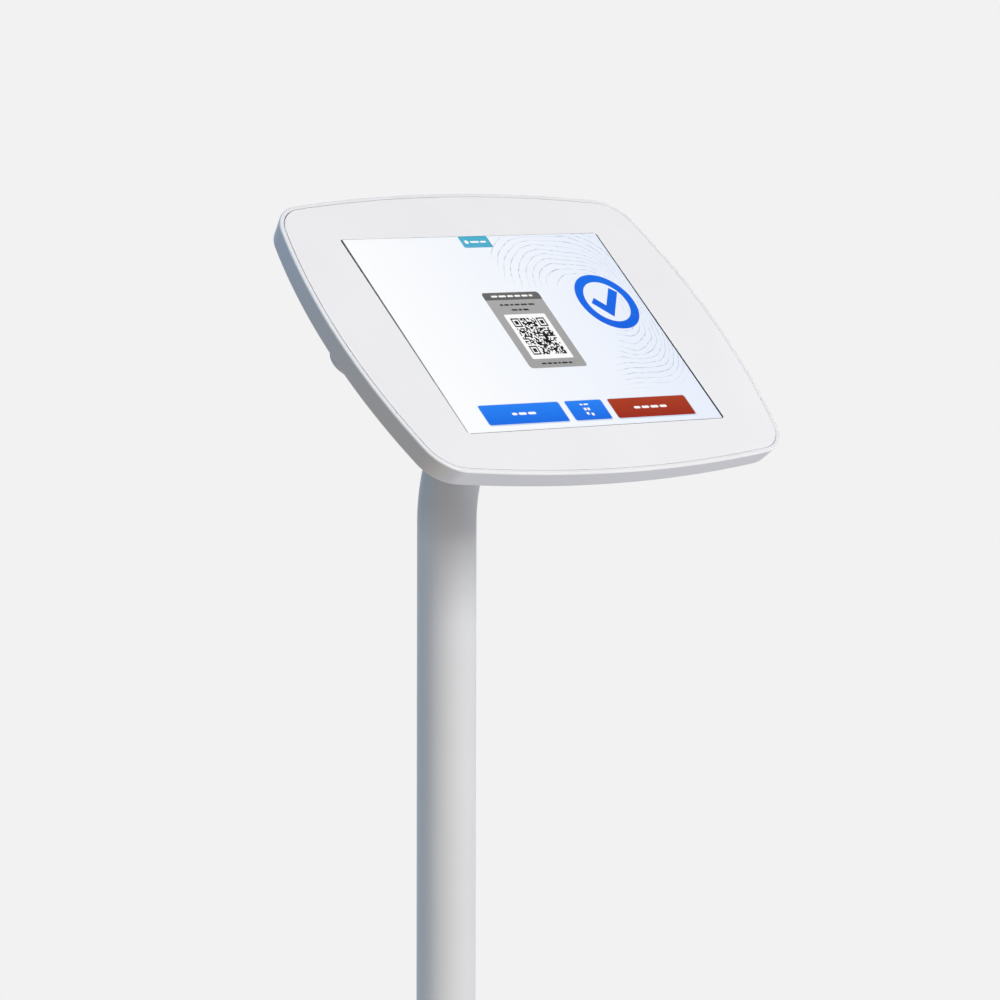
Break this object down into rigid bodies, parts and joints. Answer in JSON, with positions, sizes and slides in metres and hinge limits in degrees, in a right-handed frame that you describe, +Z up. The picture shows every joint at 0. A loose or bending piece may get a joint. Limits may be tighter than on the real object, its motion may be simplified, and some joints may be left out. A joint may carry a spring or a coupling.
{
  "type": "floor-standing tablet stand",
  "caption": "Free-standing post on a weighted base plate, bent forwards at the top, with a slim lockable case that shows a tablet's screen at a slope.",
  "frame": {"origin": "on the floor, at the centre of the base plate", "axes": "+X to the right of a person who faces the screen, +Y away from that person, +Z up"},
  "size_m": [0.4, 0.4, 1.1281],
  "materials": {
    "base_paint": "semi-gloss powder coat",
    "post_paint": "semi-gloss powder coat",
    "foot_rubber": "matt",
    "screw_steel": "zinc plated",
    "inlet_plastic": "fine texture",
    "lead_sheath": "smooth, matt",
    "soft_rubber": "matt",
    "pad_foam": "closed-cell foam",
    "shell_plastic": "smooth, glossy",
    "face_plastic": "smooth, glossy",
    "lock_metal": "nickel plated",
    "cam_steel": "zinc plated",
    "tablet_metal": "anodised",
    "screen_glass": "clear",
    "screen_panel": "lit screen",
    "battery_film": "film",
    "board_laminate": "solder mask",
    "home_plastic": "smooth"
  },
  "bodies": {
    "stand": {"base_plate": "base_paint", "foot_pad_1": "foot_rubber", "foot_pad_2": "foot_rubber", "foot_pad_3": "foot_rubber", "foot_pad_4": "foot_rubber", "foot_flange": "post_paint", "flange_bolts": "screw_steel", "post_tube": "post_paint", "inlet_socket": "inlet_plastic", "inlet_nut": "screw_steel", "charge_lead": "lead_sheath", "mount_plate": "post_paint", "plate_grommet": "soft_rubber", "rear_shell": "shell_plastic", "mount_screws": "screw_steel", "mount_washers": "screw_steel", "corner_bumper_1": "soft_rubber", "corner_bumper_2": "soft_rubber", "corner_bumper_3": "soft_rubber", "corner_bumper_4": "soft_rubber", "back_pad_1": "pad_foam", "back_pad_2": "pad_foam", "back_pad_3": "pad_foam", "back_pad_4": "pad_foam", "lock_housing": "lock_metal", "lock_nut": "screw_steel", "lead_clip": "inlet_plastic", "clip_screw": "screw_steel", "tablet_housing": "tablet_metal", "tablet_glass": "screen_glass", "tablet_display": "screen_panel", "tablet_battery": "battery_film", "tablet_board": "board_laminate", "charge_plug": "inlet_plastic"},
    "front_plate": {"faceplate": "face_plastic", "face_catch": "cam_steel", "catch_screws": "screw_steel"},
    "lock": {"lock_core": "lock_metal", "lock_cam": "cam_steel", "cam_screw": "screw_steel"},
    "home_key": {"home_button": "home_plastic"},
    "power_key": {"power_button": "tablet_metal"},
    "volume_up_key": {"volume_up": "tablet_metal"},
    "volume_down_key": {"volume_down": "tablet_metal"}
  },
  "joints": [
    {"name": "front_plate_swing", "type": "hinge", "parent": "stand", "child": "front_plate", "pos_m": [0.15055, -0.01662, 1.05], "axis": [0, 0.7193, 0.6947], "range_deg": [0, 30]},
    {"name": "lock_turn", "type": "hinge", "parent": "stand", "child": "lock", "pos_m": [-0.137, -0.00967, 1.04281], "axis": [0, -0.6947, 0.7193], "range_deg": [0, 90]},
    {"name": "home_press", "type": "slide", "parent": "stand", "child": "home_key", "axis": [0, 0.6947, -0.7193], "range_m": [0, 0.0004], "stiffness_N_per_m": 800, "springref_m": -0.0004},
    {"name": "power_press", "type": "slide", "parent": "stand", "child": "power_key", "axis": [1, 0, 0], "range_m": [0, 0.0004], "stiffness_N_per_m": 800, "springref_m": -0.0004},
    {"name": "volume_up_press", "type": "slide", "parent": "stand", "child": "volume_up_key", "axis": [0, -0.7193, -0.6947], "range_m": [0, 0.0004], "stiffness_N_per_m": 800, "springref_m": -0.0004},
    {"name": "volume_down_press", "type": "slide", "parent": "stand", "child": "volume_down_key", "axis": [0, -0.7193, -0.6947], "range_m": [0, 0.0004], "stiffness_N_per_m": 800, "springref_m": -0.0004}
  ]
}
